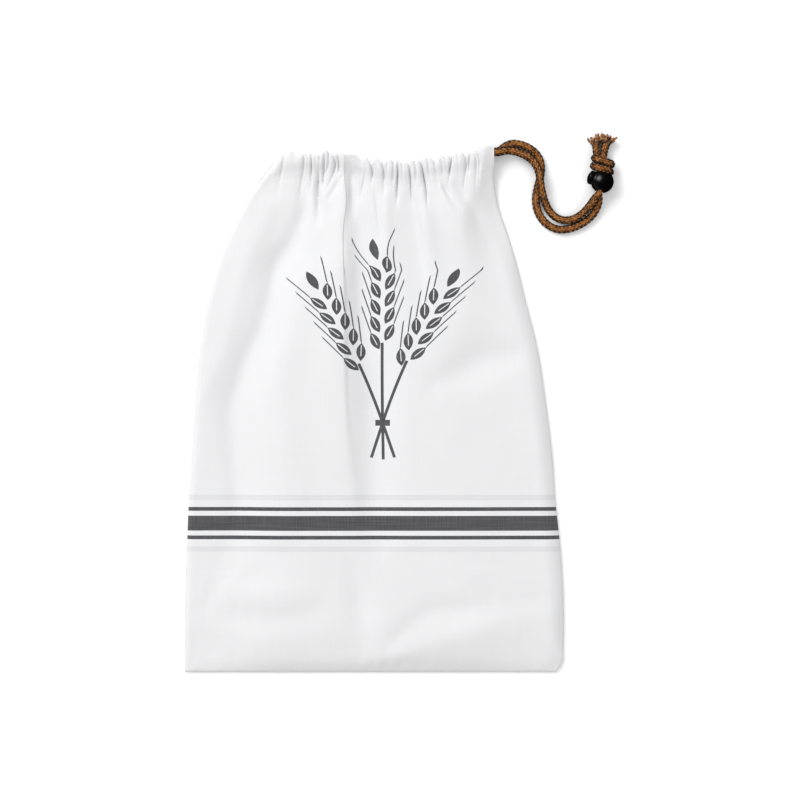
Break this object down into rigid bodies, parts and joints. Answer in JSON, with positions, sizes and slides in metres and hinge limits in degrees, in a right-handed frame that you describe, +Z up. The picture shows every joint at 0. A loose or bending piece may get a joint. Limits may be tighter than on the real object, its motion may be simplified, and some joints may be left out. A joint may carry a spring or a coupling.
{
  "type": "drawstring bread bag",
  "caption": "Flat cotton bag with a gathered mouth, a braided drawcord through its casing, and a ball cord lock above a frayed knot",
  "frame": {"origin": "on the surface that the bag lies on, under the middle of the bag's outline, without the cord and its lock", "axes": "+X to the bag's right, towards the end of the casing where the cord comes out; +Y from the bottom seam to the mouth; +Z up, out of the printed front"},
  "size_m": [0.3224, 0.3997, 0.017],
  "materials": {
    "cotton": "plain-woven white cotton with a dark grey and a pale grey print",
    "braid": "round braided cord, brown",
    "lock_plastic": "smooth black moulding"
  },
  "bodies": {
    "bag_body": {"bag": "cotton", "strand_over": "braid", "strand_under": "braid", "knotted_ends": "braid", "toggle_ball": "lock_plastic"},
    "button": {"toggle_button": "lock_plastic"}
  },
  "joints": [
    {"name": "button_press", "type": "slide", "parent": "bag_body", "child": "button", "axis": [0.9336, -0.3584, 0], "range_m": [0, 0.0024], "stiffness_N_per_m": 400, "springref_m": -0.002}
  ]
}
